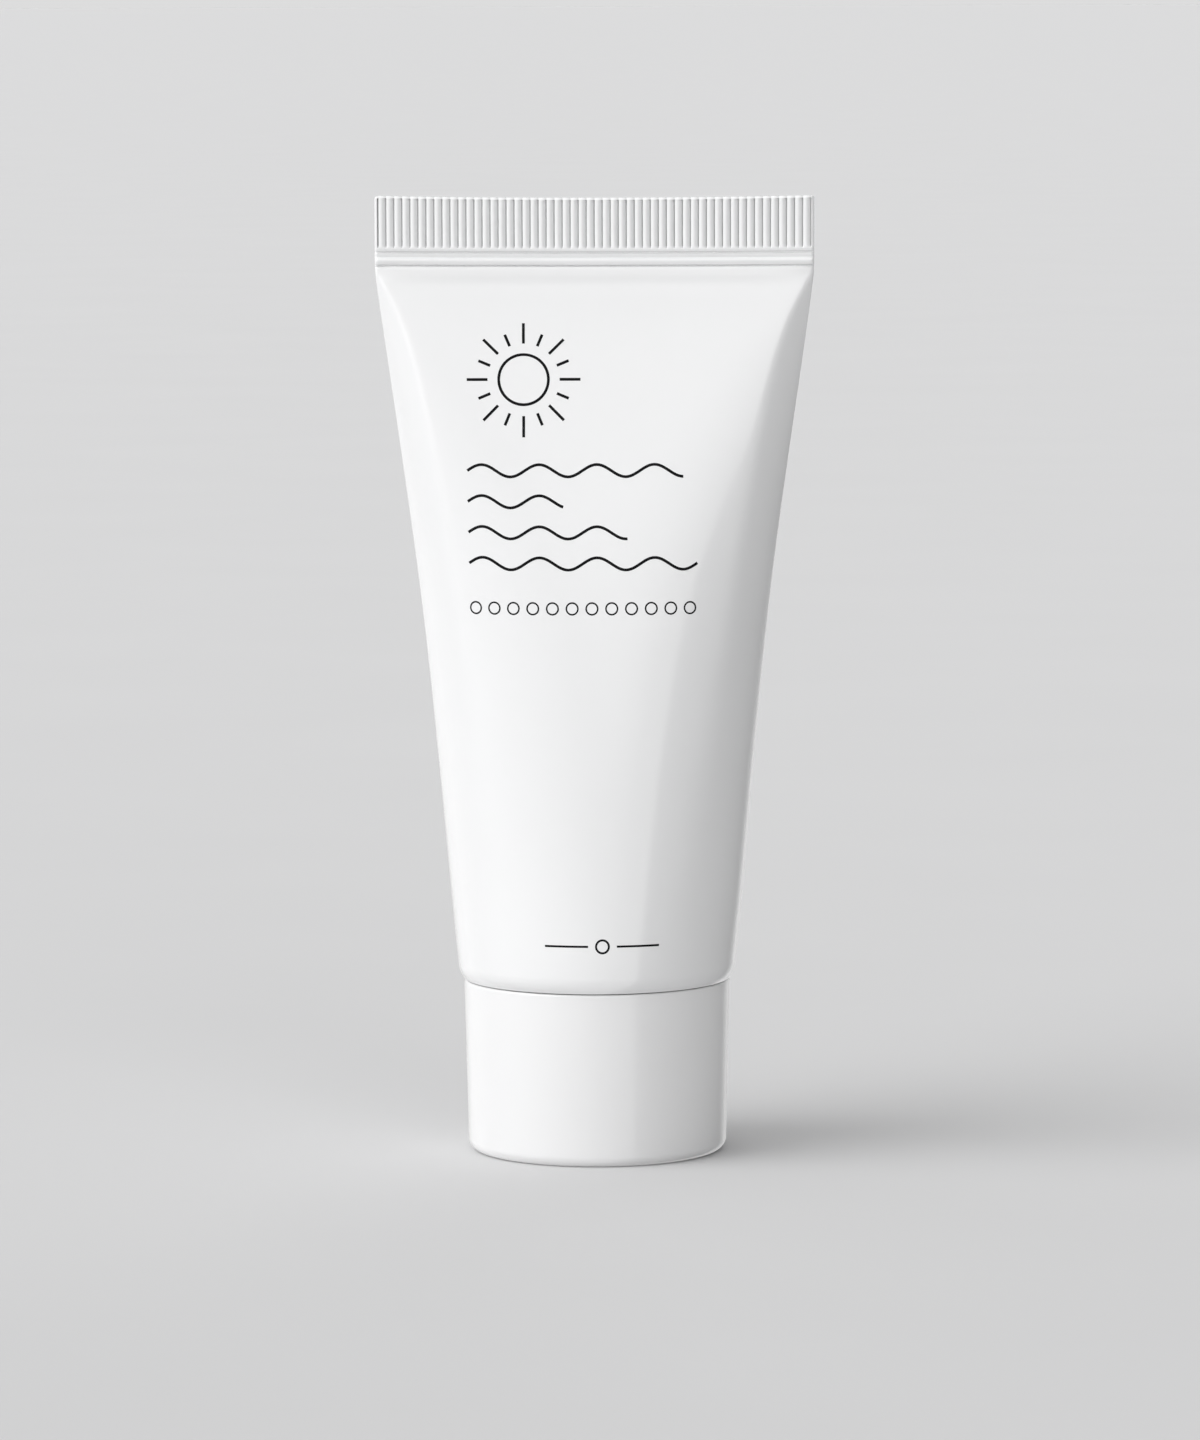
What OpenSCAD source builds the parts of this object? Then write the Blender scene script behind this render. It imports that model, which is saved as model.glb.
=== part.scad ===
// Squeeze tube for sunscreen, standing on its screw cap.
// Millimetres, +Z up, origin at the centre of the cap's flat base.
// The crimped seal runs along X, and the printed front faces -Y.

/* [Sleeve] */
// Outside diameter of the sleeve where it is still round
tube_d = 35; // [33:0.5:38]
// Length of the sleeve, from the shoulder's seat to the end of the crimp
tube_l = 98.5; // [90:0.5:120]
// Thickness of the sleeve's wall
wall = 0.45; // [0.35:0.05:0.5]
// Radius with which the sleeve turns in to the shoulder
heel_r = 3; // [2.7:0.1:3.4]
// Height of that turn, from the seat up to the straight side
heel_h = 2; // [1.7:0.1:2.1]
// Share of the flare by which the sides draw in at mid height, as on a filled tube
waist_share = 0.086; // [0.06:0.002:0.11]

/* [Crimp] */
// Height of the crimped band at the end of the sleeve
crimp_h = 9.1; // [8.8:0.1:12]
// Thickness of the crimped band, where the two walls are welded and pressed thin
crimp_t = 0.8; // [0.7:0.05:0.9]
// Distance from rib to rib
rib_pitch = 1; // [0.9:0.05:1.5]
// How far a rib stands out of the band on each face
rib_rise = 0.14; // [0.1:0.01:0.2]
// How far the grooves between the ribs lie outside the plain band
groove_rise = 0.02; // [0.01:0.01:0.05]
// Height of the ribbed stretch
rib_h = 6.4; // [5.5:0.1:6.5]
// Bare edge above the ribs
rib_margin = 0.2; // [0.1:0.05:0.3]
// Bare edge at each end of the row of ribs
rib_border = 0.45; // [0.42:0.01:0.9]
// Width of the flat bar below the ribs
bar_w = 1.6; // [1.2:0.1:1.7]
// How far the bar stands out of the band
bar_rise = 0.12; // [0.08:0.01:0.2]
// Height of the bar's middle above the foot of the band
bar_z = 1.3; // [1.1:0.1:1.4]
// Bare edge at each end of the bar
bar_border = 0.3; // [0.2:0.05:0.4]

/* [Shoulder and neck] */
// Slope of the shoulder below the horizontal, in degrees
shoulder_angle = 23; // [19:1:26]
// Thickness of the shoulder
shoulder_t = 1.1; // [0.9:0.1:1.4]
// Width of the flat seat inside the sleeve's lower edge
seat_w = 0.9; // [0.7:0.1:1.2]
// Height of the skirt that is welded inside the sleeve
skirt_h = 1.2; // [0.8:0.1:1.4]
// Thickness of that skirt
skirt_t = 0.8; // [0.6:0.1:1]
// How far the skirt draws in towards its edge
skirt_taper = 0.25; // [0.2:0.05:0.35]
// Gap between the shoulder's skirt and the sleeve that is welded round it
weld_gap = 0.1; // [0.08:0.01:0.12]
// Diameter of the neck under its thread
neck_d = 13.2; // [12.4:0.1:14]
// Thickness of the neck's wall
neck_t = 1.4; // [1.1:0.1:1.8]
// Thickness of the plate across the mouth
mouth_t = 1.2; // [1:0.1:1.6]
// Diameter of the orifice that the cream comes out of
orifice_d = 4; // [2.5:0.5:6]
// Chamfer round the mouth
mouth_edge = 0.4; // [0.2:0.1:0.6]

/* [Thread] */
// Rise of the thread in one turn
lead = 3; // [2.9:0.1:3.3]
// Height of the thread above the neck
thread_h = 0.9; // [0.8:0.05:1]
// Width of the thread at its crest
crest_w = 0.6; // [0.5:0.05:0.7]
// Width of the thread at its root
root_w = 1.6; // [1.4:0.05:1.65]
// Distance from the mouth to the middle of the thread's start
thread_start = 2.2; // [2:0.1:2.4]
// Plain length of neck between the thread's end and the shoulder
neck_plain = 3.2; // [2.8:0.1:5]
// Plain length of bore between the insert's thread and its mouth
insert_plain = 2; // [1.6:0.1:3]
// Gap between each thread's crest and the wall that it faces
thread_gap = 0.3; // [0.2:0.05:0.35]
// Gap between the loaded flanks of the two threads
flank_gap = 0.25; // [0.2:0.05:0.35]

/* [Cap] */
// Height of the cap
cap_h = 21.6; // [21:0.1:25]
// How far the cap's rim stands in from the side of the sleeve
cap_inset = 0.75; // [0.6:0.05:1]
// Draft of the cap's side, in degrees
cap_draft = 1.3; // [1:0.1:2]
// Thickness of the cap's side
cap_wall = 1.3; // [1.1:0.1:1.5]
// Thickness of the cap's base
cap_deck = 1.5; // [1.2:0.1:1.8]
// Radius of the cap's lower edge
cap_edge = 1.5; // [1:0.1:2]
// Radius of the cap's rim
rim_edge = 0.3; // [0.2:0.05:0.4]
// Gap between the cap's rim and the tube
seat_gap = 0.3; // [0.2:0.05:0.5]
// Height of the snap bead inside the cap
snap_rise = 0.3; // [0.2:0.05:0.4]

/* [Insert and liner] */
// Thickness of the insert's threaded skirt
insert_t = 1.5; // [1.2:0.1:1.8]
// Thickness of the insert's deck and flange
insert_deck = 1.2; // [1:0.1:1.4]
// Height of the insert's deck above its foot
deck_rise = 4.25; // [3:0.05:5]
// Gap between the insert's mouth and the root of the neck
root_gap = 1.3; // [1:0.1:2]
// Number of stiffening ribs under the flange
gussets = 6; // [3:1:12]
// Thickness of the stiffening ribs
gusset_t = 1; // [0.8:0.1:1.4]
// Height of the stiffening ribs
gusset_h = 6; // [4:0.5:7]
// Gap between the stiffening ribs and the shell
gusset_gap = 0.4; // [0.2:0.1:0.8]
// Thickness of the liner disc
liner_t = 1; // [0.8:0.1:1.2]
// Height of the bead that keeps the liner in
keeper_rise = 0.3; // [0.2:0.05:0.35]
// Gap between pieces that seat on each other
fit_gap = 0.05; // [0.03:0.01:0.08]

/* [Cream] */
// Height of the cream's surface above the shoulder's seat
fill_h = 60.5; // [30:0.5:72]
// Gap between the cream and the walls round it
cream_gap = 0.25; // [0.2:0.05:0.35]

/* [Hidden] */

// Colours
gloss_white = [0.96, 0.96, 0.96];
moulded_white = [0.93, 0.93, 0.92];
foam_white = [0.88, 0.88, 0.86];
cream_white = [0.97, 0.94, 0.88];

// Fineness
round_fn = 96;          // sides of a revolved body
arc_steps = 6;          // steps along a rounded edge
turn_steps = 36;        // steps in one turn of the thread
fade_steps = 5;         // steps in which a thread runs out at each end
quarter_steps = 16;     // columns in a quarter of the sleeve's outline
heel_steps = 4;         // rings in the sleeve's lower edge
body_steps = 14;        // rings from there to the crimp
fill_steps = 8;         // rings up the cream
rib_steps = 4;          // steps across one rib of the crimp
thread_sink = 0.3;      // how far a thread is sunk into its wall
sink = 0.4;             // how far a stiffening rib is sunk into the walls that it joins
pocket_share = 0.99;    // share of the sleeve's height where its inside ends

// Quarter of a circle's edge, in radii
quarter_turn = 90 * PI / 180;

// Heights, from the cap's base upwards
seat_z = cap_h + seat_gap;
heel_z = seat_z + heel_h;
tube_top = seat_z + tube_l;
crimp_z = tube_top - crimp_h;

// Sleeve
tube_r = tube_d / 2;
seal_half = crimp_t / 2;
seal_half_w = quarter_turn * tube_r;
seal_stretch = (quarter_turn - 1) * seal_half;

// Cap
rim_r = tube_r - cap_inset;

// Insert and liner
insert_foot = cap_deck + fit_gap;
deck_top = insert_foot + deck_rise;
liner_z = deck_top + fit_gap;

// Shoulder and neck
neck_r = neck_d / 2;
crest_r = neck_r + thread_h;
head_r = tube_r - wall - weld_gap;
head_heel = heel_r - wall - weld_gap;
cone_r = tube_r - heel_r + sqrt(pow(head_heel, 2) - pow(heel_h, 2)) - seat_w;
root_z = seat_z - (cone_r - neck_r) * tan(shoulder_angle);
mouth_z = liner_z + liner_t + fit_gap;
bore_r = neck_r - neck_t;
skirt_top = heel_z + skirt_h;
skirt_in = head_r - skirt_taper - skirt_t;

// Insert, round the neck
insert_r = crest_r + thread_gap;
skirt_r = insert_r + insert_t;
insert_top = root_z - root_gap;

// Threads: height of the neck's ridge at angle 0, the insert's ridge above it, and their turns
ridge_z = mouth_z + thread_start;
neck_turns = (root_z - neck_plain - ridge_z) / lead;
flank_slope = (root_w - crest_w) / 2 / thread_h;
ridge_step = crest_w + flank_slope * (thread_h - thread_gap) + flank_gap;
insert_turns = (insert_top - insert_plain - ridge_z - ridge_step) / lead;

// Outside and inside radius of the cap at a height
function cap_r(z) = rim_r - (cap_h - z) * tan(cap_draft);
function cap_inner_r(z) = cap_r(z) - cap_wall;

// Points on an arc in the R-Z plane
function arc(centre, r, from, to, steps = arc_steps) =
    [for (i = [0 : steps]) let (a = from + (to - from) * i / steps) centre + r * [cos(a), sin(a)]];

// Share of the flare that the sleeve's sides have reached at share t of its height
function flare(t) = let (hump = sin(180 * t)) t - waist_share * hump * sqrt(hump);

// Half the sleeve's width, the radius of its sides, and a quarter of its outline
function half_width(t) = tube_r + (seal_half_w - tube_r) * flare(t);
function side_r(t) = seal_half + (tube_r - seal_half) * (1 - t);
function quarter(t) = quarter_turn * tube_r + seal_stretch * t;

// Radians in x degrees, and the angle at which sin(x) / x falls to k, by Newton's method
function rad(x) = x * PI / 180;
function sinc_angle(k, x, steps) =
    steps < 1 ? x
    : sinc_angle(k, x - (sin(x) - k * rad(x)) / rad(cos(x) - k), steps - 1);

// Half the angle that the front's wide arc spans. The front is flat at the crimp.
least_angle = 0.02;
newton_steps = 8;
function front_angle(t) =
    let (arc_l = quarter(t) - quarter_turn * side_r(t),
         k = t <= 0 ? 1 : (half_width(t) - side_r(t)) / arc_l,
         first = k < 1 ? sqrt(6 * (1 - k)) * 180 / PI : 0)
    first < least_angle ? least_angle : sinc_angle(k, first, newton_steps);

// Point of the sleeve's outline at share t of its height, inset from the outside.
// v runs from 0 at the middle of the front to 1 at the side, along the unrolled sheet.
function oval_point(t, v, inset) =
    let (phi = front_angle(t),
         rc = side_r(t),
         rf = rc + (quarter(t) - quarter_turn * rc) / rad(phi),
         run = rf * rad(phi),
         s = v * quarter(t),
         q = s <= run ? s / rf * 180 / PI : phi + (s - run) / rc * 180 / PI)
    s <= run
    ? [(rf - inset) * sin(q), (rf - inset) * cos(q) - (rf - rc) * cos(phi)]
    : [(rf - rc) * sin(phi) + (rc - inset) * sin(q), (rc - inset) * cos(q)];

// Places of the columns in a quarter, closer together towards the side
quarter_shares = [for (i = [0 : quarter_steps]) sin(90 * i / quarter_steps)];

// Whole outline at height z from its first quarter, round from the middle of the front by the right
function all_round(points, z) =
    let (n = len(points) - 1)
    concat([for (i = [0 : n - 1]) [points[i].x, -points[i].y, z]],
           [for (i = [n : -1 : 1]) [points[i].x, points[i].y, z]],
           [for (i = [0 : n - 1]) [-points[i].x, points[i].y, z]],
           [for (i = [n : -1 : 1]) [-points[i].x, -points[i].y, z]]);
function oval_ring(t, inset, z) = all_round([for (v = quarter_shares) oval_point(t, v, inset)], z);
function round_ring(r, z) = all_round([for (v = quarter_shares) r * [sin(90 * v), cos(90 * v)]], z);

// Height, and the share of the sleeve's height at its ring k, closer together at the crimp
function body_z(t) = heel_z + (crimp_z - heel_z) * t;
function body_share(k) = let (rest = 1 - k / body_steps) 1 - rest * sqrt(rest);

// Closed skin through rings of equal length, listed from one end to the other
module skin(rings) {
    n = len(rings[0]);
    last = len(rings) - 1;
    points = [for (ring = rings) each ring];
    sides = [for (k = [0 : last - 1]) for (i = [0 : n - 1])
        let (a = k * n + i, b = k * n + (i + 1) % n, c = b + n, d = a + n) each [[a, d, c], [a, c, b]]];
    ends = [[for (i = [0 : n - 1]) i], [for (i = [0 : n - 1]) (last + 1) * n - 1 - i]];
    polyhedron(points, concat(sides, ends), convexity = 6);
}

// Ridge of a right-hand thread on a wall of radius wall_r. It rises from inside the wall to
// crest_at, which lies outside wall_r on a neck and inside it in a bore.
module thread_ridge(wall_r, crest_at, z0, turns) {
    steps = ceil(turns * turn_steps);
    out = sign(crest_at - wall_r);
    foot_r = wall_r - out * thread_sink;
    low_r = wall_r - out * thread_sink / 2;
    rings = [for (i = [0 : steps])
        let (angle = 360 * turns * i / steps,
             z = z0 + lead * angle / 360,
             grown = min(1, min(i, steps - i) / fade_steps),
             top_r = low_r + (crest_at - low_r) * grown,
             foot_half = root_w / 2 + flank_slope * thread_sink,
             top_half = root_w / 2 - flank_slope * (top_r - wall_r) * out,
             ring = [for (p = [[foot_r, foot_half], [top_r, top_half], [top_r, -top_half], [foot_r, -foot_half]])
                 [p.x * cos(angle), p.x * sin(angle), z + p.y]])
        out > 0 ? ring : [for (k = [3 : -1 : 0]) ring[k]]];
    skin(rings);
}

// Outer shell of the cap, with the bead that the insert snaps under
module cap_shell() {
    inner_edge = cap_edge / 2;
    snap_z = insert_top + fit_gap;
    outside = concat([[0, 0]],
        arc([cap_r(cap_edge) - cap_edge, cap_edge], cap_edge, -90, 0),
        arc([rim_r - rim_edge, cap_h - rim_edge], rim_edge, 0, 90));
    bead = [[cap_inner_r(snap_z + 2 * snap_rise), snap_z + 2 * snap_rise],
            [cap_inner_r(snap_z + snap_rise) - snap_rise, snap_z + snap_rise],
            [cap_inner_r(snap_z), snap_z]];
    inside = concat([[cap_inner_r(cap_h), cap_h]], bead,
        [[cap_inner_r(cap_deck + inner_edge), cap_deck + inner_edge],
         [cap_inner_r(cap_deck) - inner_edge, cap_deck], [0, cap_deck]]);
    color(gloss_white)
        rotate_extrude($fn = round_fn) polygon(concat(outside, inside));
}

// Threaded insert that is pressed into the shell
module cap_insert() {
    flange_foot = insert_top - insert_deck;
    flange_r = cap_inner_r(insert_top) - fit_gap;
    flange_foot_r = cap_inner_r(flange_foot) - fit_gap;
    keeper_z = liner_z + liner_t + fit_gap;
    gusset_foot = flange_foot - gusset_h;
    gusset_end = cap_inner_r(gusset_foot) - gusset_gap;
    section = [[skirt_r, insert_foot], [skirt_r, flange_foot], [flange_foot_r, flange_foot],
        [flange_r, insert_top], [insert_r + mouth_edge, insert_top], [insert_r, insert_top - mouth_edge],
        [insert_r, keeper_z + 2 * keeper_rise], [insert_r - keeper_rise, keeper_z + keeper_rise],
        [insert_r, keeper_z], [insert_r, deck_top], [0, deck_top], [0, deck_top - insert_deck],
        [insert_r, deck_top - insert_deck], [insert_r, insert_foot]];
    color(moulded_white) {
        rotate_extrude($fn = round_fn) polygon(section);
        for (i = [0 : gussets - 1]) rotate([0, 0, i * 360 / gussets])
            translate([skirt_r - sink, -gusset_t / 2, gusset_foot])
                cube([gusset_end - skirt_r + sink, gusset_t, gusset_h + sink]);
        thread_ridge(insert_r, neck_r + thread_gap, ridge_z + ridge_step, insert_turns);
    }
}

// Foamed disc that the mouth of the neck closes on
module cap_liner() {
    color(foam_white)
        translate([0, 0, liner_z]) cylinder(h = liner_t, r = insert_r - 2 * fit_gap, $fn = round_fn);
}

// Shoulder, neck and orifice, moulded in one piece and welded into the sleeve
module tube_head() {
    inner_root_z = root_z + shoulder_t;
    slope_top = inner_root_z + (skirt_in - bore_r) * tan(shoulder_angle);
    heel_end = -asin(heel_h / head_heel);
    outside = concat(
        [[orifice_d / 2, mouth_z], [neck_r - mouth_edge, mouth_z], [neck_r, mouth_z + mouth_edge],
         [neck_r, root_z], [cone_r, seat_z]],
        arc([tube_r - heel_r, heel_z], head_heel, heel_end, 0));
    inside = [[head_r - skirt_taper, skirt_top], [skirt_in, skirt_top], [skirt_in, slope_top],
              [bore_r, inner_root_z], [bore_r, mouth_z + mouth_t], [orifice_d / 2, mouth_z + mouth_t]];
    color(moulded_white) {
        rotate_extrude($fn = round_fn) polygon(concat(outside, inside));
        thread_ridge(neck_r, crest_r, ridge_z, neck_turns);
    }
}

// Outline of the ribbed stretch, seen along Z: a row of round ribs on each face
module rib_outline() {
    half = seal_half_w - rib_border;
    ribs = round(2 * half / rib_pitch);
    pitch = 2 * half / ribs;
    face = seal_half + groove_rise;
    row = concat(
        [for (i = [0 : ribs - 1], k = [0 : rib_steps - 1])
            [-half + (i + k / rib_steps) * pitch, face + rib_rise * sin(180 * k / rib_steps)]],
        [[half, face]]);
    polygon(concat(row, [for (i = [len(row) - 1 : -1 : 0]) [row[i].x, -row[i].y]]));
}

// Section of the flat bar below the ribs, which stands out of both faces of the crimp
module bar_outline() {
    out = seal_half + bar_rise;
    in = seal_half / 2;
    polygon([[in, -bar_w / 2], [out, -bar_w / 4], [out, bar_w / 4], [in, bar_w / 2],
             [-in, bar_w / 2], [-out, bar_w / 4], [-out, -bar_w / 4], [-in, -bar_w / 2]]);
}

// Sleeve: round at the shoulder, flattened and crimped shut at the other end
module tube_sleeve() {
    inner_heel = heel_r - wall;
    outer_end = asin(heel_h / heel_r);
    inner_end = asin(heel_h / inner_heel);
    heel_centre = tube_r - heel_r;
    outer_rings = concat(
        [for (i = [heel_steps : -1 : 1]) let (q = outer_end * i / heel_steps)
            round_ring(heel_centre + heel_r * cos(q), heel_z - heel_r * sin(q))],
        [for (k = [0 : body_steps]) oval_ring(body_share(k), 0, body_z(body_share(k)))],
        [oval_ring(1, 0, tube_top)]);
    inner_rings = concat(
        [for (i = [heel_steps : -1 : 1]) let (q = inner_end * i / heel_steps)
            round_ring(heel_centre + inner_heel * cos(q), heel_z - inner_heel * sin(q))],
        [for (k = [0 : body_steps - 1]) oval_ring(body_share(k), wall, body_z(body_share(k)))],
        [oval_ring(pocket_share, wall, body_z(pocket_share))]);
    from_pocket = [for (i = [len(inner_rings) - 1 : -1 : 0]) inner_rings[i]];
    color(gloss_white) {
        skin(concat(from_pocket, outer_rings));
        translate([0, 0, tube_top - rib_margin - rib_h]) linear_extrude(height = rib_h) rib_outline();
        translate([-seal_half_w + bar_border, 0, crimp_z + bar_z]) rotate([90, 0, 90])
            linear_extrude(height = 2 * (seal_half_w - bar_border)) bar_outline();
    }
}

// Sunscreen inside the sleeve and the neck
module sunscreen_cream() {
    neck_fill_r = bore_r - cream_gap;
    head_fill_r = skirt_in - cream_gap;
    lift = shoulder_t + cream_gap / cos(shoulder_angle);
    slope_z = root_z + lift + (head_fill_r - bore_r) * tan(shoulder_angle);
    fill_share = (seat_z + fill_h - heel_z) / (crimp_z - heel_z);
    first_share = (skirt_top + 2 * cream_gap - heel_z) / (crimp_z - heel_z);
    rings = concat(
        [round_ring(neck_fill_r, mouth_z + mouth_t + cream_gap), round_ring(neck_fill_r, root_z + lift),
         round_ring(head_fill_r, slope_z), round_ring(head_fill_r, skirt_top + cream_gap)],
        [for (k = [0 : fill_steps]) let (t = first_share + (fill_share - first_share) * k / fill_steps)
            oval_ring(t, wall + cream_gap, body_z(t))]);
    color(cream_white) skin(rings);
}

cap_shell();
cap_insert();
cap_liner();
tube_head();
tube_sleeve();
sunscreen_cream();
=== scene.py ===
"""Looks of the squeeze tube for sunscreen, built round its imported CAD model.

Metres, +Z up, origin at the centre of the cap's flat base. The crimped seal runs along X, and the
printed front faces -Y. The sleeve has the width and the sheet length of its solid all the way up.
Its outline is closer to the photo: a gently curved face that bends towards a small fold.
"""

from bisect import bisect_left
from math import asin, atan, atan2, ceil, cos, exp, pi, radians, sin, sqrt, tan, tau

import bmesh
import bpy
from bpy.props import FloatProperty, FloatVectorProperty, IntProperty, PointerProperty
from mathutils import Matrix, Vector, noise


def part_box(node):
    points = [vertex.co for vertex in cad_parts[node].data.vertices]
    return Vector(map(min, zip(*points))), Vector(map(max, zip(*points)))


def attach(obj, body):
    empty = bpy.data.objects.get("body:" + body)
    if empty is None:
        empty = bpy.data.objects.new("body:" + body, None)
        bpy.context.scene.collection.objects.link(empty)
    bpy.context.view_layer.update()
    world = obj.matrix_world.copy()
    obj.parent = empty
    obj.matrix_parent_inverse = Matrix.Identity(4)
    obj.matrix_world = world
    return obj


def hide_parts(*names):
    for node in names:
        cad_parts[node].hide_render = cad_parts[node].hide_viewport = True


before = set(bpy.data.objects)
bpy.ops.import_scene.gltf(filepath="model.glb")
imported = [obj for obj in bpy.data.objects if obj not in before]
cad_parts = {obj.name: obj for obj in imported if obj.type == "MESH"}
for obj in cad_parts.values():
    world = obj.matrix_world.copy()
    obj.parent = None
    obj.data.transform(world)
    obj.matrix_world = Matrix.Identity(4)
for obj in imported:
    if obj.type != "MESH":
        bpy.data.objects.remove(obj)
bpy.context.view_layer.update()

bl_info = {
    "name": "Squeeze tube",
    "version": (1, 0, 0),
    "blender": (4, 5, 0),
    "location": "3D View > Sidebar > Squeeze tube",
    "description": "Builds the pieces of a squeeze tube for sunscreen round its CAD frame",
    "category": "Object",
}

SLEEVE_LOW, SLEEVE_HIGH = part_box("tube_sleeve")
CAP_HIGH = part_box("cap_shell")[1]
INSERT_LOW, INSERT_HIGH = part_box("cap_insert")
LINER_LOW, LINER_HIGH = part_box("cap_liner")
HEAD_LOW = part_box("tube_head")[0]
CREAM_LOW, CREAM_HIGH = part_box("sunscreen_cream")

MM = 0.001

# How finely the shapes are cut
ROUND_STEPS = 128  # steps round a revolved piece
LINER_STEPS = 96  # steps round the liner, and round the sun's ring
RING_STEPS = 48  # steps round a small printed ring
CORNER_STEPS = 5  # steps along a rounded corner
FINE_CORNER_STEPS, CAP_CORNER_STEPS = 3, 8  # steps along a small one, and along those of the cap
CORNER_ROOM = 0.49  # share of an edge that each of its two rounded corners may take up
STRAIGHT = 1.56  # half the angle, in radians, from which a corner counts as straight
THREAD_STEPS = 64  # steps in one turn of a thread
RIB_CUTS = (0, 0.07, 0.14, 0.3, 0.5, 0.7, 0.86, 0.93)  # places of the columns across one rib
SIDE_CUTS = 5  # columns from the last rib to the middle of the side
HEEL_ROWS = 6  # rows in the turned-in lower edge of the sleeve
BODY_ROWS = 40  # rows from there to the crimp
BODY_CROWDING = 1.8  # power with which those rows crowd towards the crimp
INSIDE_ROWS = 8  # rows up the inside of the sleeve
INSIDE_CROWDING = 1.5  # power with which those crowd
INSIDE_TOP = 0.99  # share of the height at which the inside ends
CREAM_ROWS, CREAM_COLUMNS = 16, 32  # rows of the cream in the sleeve, columns in a quarter
OUTLINE_STEPS = 240  # steps of the sleeve's outline in a quarter
OUTLINE_CROWDING = 1.5  # power with which those steps crowd towards the side
WAVE_STEP = 0.3 * MM  # steps along a printed wavy line
SHARP_ANGLE = radians(38)
MERGE_DISTANCE = 1e-6
CROWN_PRECISION = 1e-5  # how closely the turn of the face is solved, in radians

# Small sizes of the pieces
LOW_BOW, HIGH_BOW = 0.15, 0.7  # how much less the corners of the crimp sag, at its foot and top
SLANT = 0.002  # how much the crimp falls towards the right
SAG_REACH = 14 * MM  # height over which the sag dies out below the crimp
SOFT = 0.1 * MM  # radius of the sharpest moulded corners
HOLLOW = 0.9  # largest part of the fold's radius that a wall may take up inside it
THREAD_SINK = 0.3 * MM  # how far the foot of a thread lies in its wall
THREAD_CORNER = 0.14 * MM  # radius of a thread's corners
GUSSET_SINK = 0.4 * MM  # how far the stiffening ribs lie in the skirt and the flange
CALM = 8 * MM  # distance from the heel and the crimp over which the skin's waves die out
MARK_RING, MARK_GAP = 0.8 * MM, 1.8 * MM  # radius of the small mark's ring, and where its lines start
MARK_STROKE = 1.3  # width of its lines, in fine strokes

# Profile of the crimp from its first groove upwards, in millimetres: height above the crimp's foot,
# distance of the face from the middle of the seal, and how much of the rib pattern shows there
CRIMP_PROFILE = (
    (0.53, 0.46, 0), (0.57, 0.26, 0), (0.65, 0.24, 0), (0.69, 0.40, 0), (0.73, 0.50, 0), (0.80, 0.58, 0),
    (0.90, 0.65, 0), (1.02, 0.71, 0), (1.14, 0.755, 0), (1.24, 0.775, 0), (1.33, 0.76, 0), (1.41, 0.71, 0),
    (1.48, 0.62, 0), (1.55, 0.50, 0), (1.61, 0.39, 0), (1.66, 0.34, 0), (1.86, 0.43, 0), (2.08, 0.53, 0),
    (2.12, 0.45, 0), (2.16, 0.20, 0), (2.32, 0.18, 0), (2.36, 0.38, 0), (2.43, 0.48, 0), (2.55, 0.565, 0),
    (2.70, 0.61, 0), (2.78, 0.62, 0.05), (3.02, 0.60, 0.95), (3.08, 0.59, 1), (5.85, 0.59, 1),
    (8.65, 0.59, 1), (8.73, 0.59, 0.9), (8.80, 0.60, 0.4), (8.86, 0.60, 0), (8.97, 0.56, 0),
    (9.05, 0.49, 0), (9.11, 0.39, 0), (9.13, 0.28, 0),
)

# Edge below that groove: height above the crimp's foot in millimetres, and share of the thickness of the
# last row of the skin
CRIMP_EDGE = ((0.00, 0.95), (0.20, 0.92), (0.36, 0.84), (0.46, 0.68))

# How the sleeve's outline changes up the tube, as powers of the share of the height that is left
WAIST_POWER = 1.5  # the sides draw in most at mid height
FOLD_FALL = 3.4  # the fold's radius shrinks towards the crimp
BEND_OFFSET = ((1, 0.41), (2, 0.08))  # the bend in the face moves towards the side,
LATE_OFFSET, OFFSET_REACH = 0.16, 0.08  # the last part of the way next to the crimp,
BEND_LEAST, BEND_WIDTH, BEND_TIGHTENING = 0.035, 0.25, 1.2  # and tightens
LEAN_FALL = 1.7  # and the face beyond it leans back more
LATE_LEAN, LEAN_LATENESS = radians(18), 12  # most of all next to the crimp
CROWN_POWERS = (1, 0.5, 8.3)  # the face itself grows flat: even, linear and late part
CROWN_LATENESS = 6
FOLD_SOFTNESS = 0.05  # softness of the change from the face to the fold

# The back of a rib, seen from the front: its crest lies near its left groove. From there the depth is a
# sum of powers of the share of the way to the right groove
RIB_CREST = 0.14
RIB_BACK = ((1, -0.4), (2, 1.0), (6, 0.4))

# Painted light on the crimp: how much lighter its colour is made beside the rest, in its plain band, and at
# places from 0 to 1 across a rib, from its left groove: a painted highlight on the left flank, painted shade
# to the right
BAND_PAINTED_LIGHT = 1.05
RIB_PAINTED_LIGHT = ((0, 0.9), (0.06, 1.12), (0.16, 1.15), (0.38, 1.15), (0.6, 1.03), (0.82, 0.93), (1, 0.87))
BAND_START = 0.3 * MM  # height above the crimp's foot at which the band's painted light starts
RIBS_START = 2.78 * MM  # and that of the ribs
TONE_RISE = 0.2 * MM  # height over which each painted light sets in


def setting(kind, **fixed):
    """A function that declares settings of one kind."""
    return lambda name, description, default: kind(
        name=name, description=description, default=default, **fixed)


number = setting(FloatProperty)
length = setting(FloatProperty, unit="LENGTH", precision=6)
share = setting(FloatProperty, subtype="FACTOR")
count = setting(IntProperty, min=1)
colour = setting(FloatVectorProperty, size=3, subtype="COLOR")


def mm(name, description, millimetres):
    """Declares a length whose default is given in millimetres."""
    return length(name, description, millimetres * MM)


def angle(name, description, degrees):
    """Declares an angle whose default is given in degrees."""
    return setting(FloatProperty, subtype="ANGLE")(name, description, radians(degrees))


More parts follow.
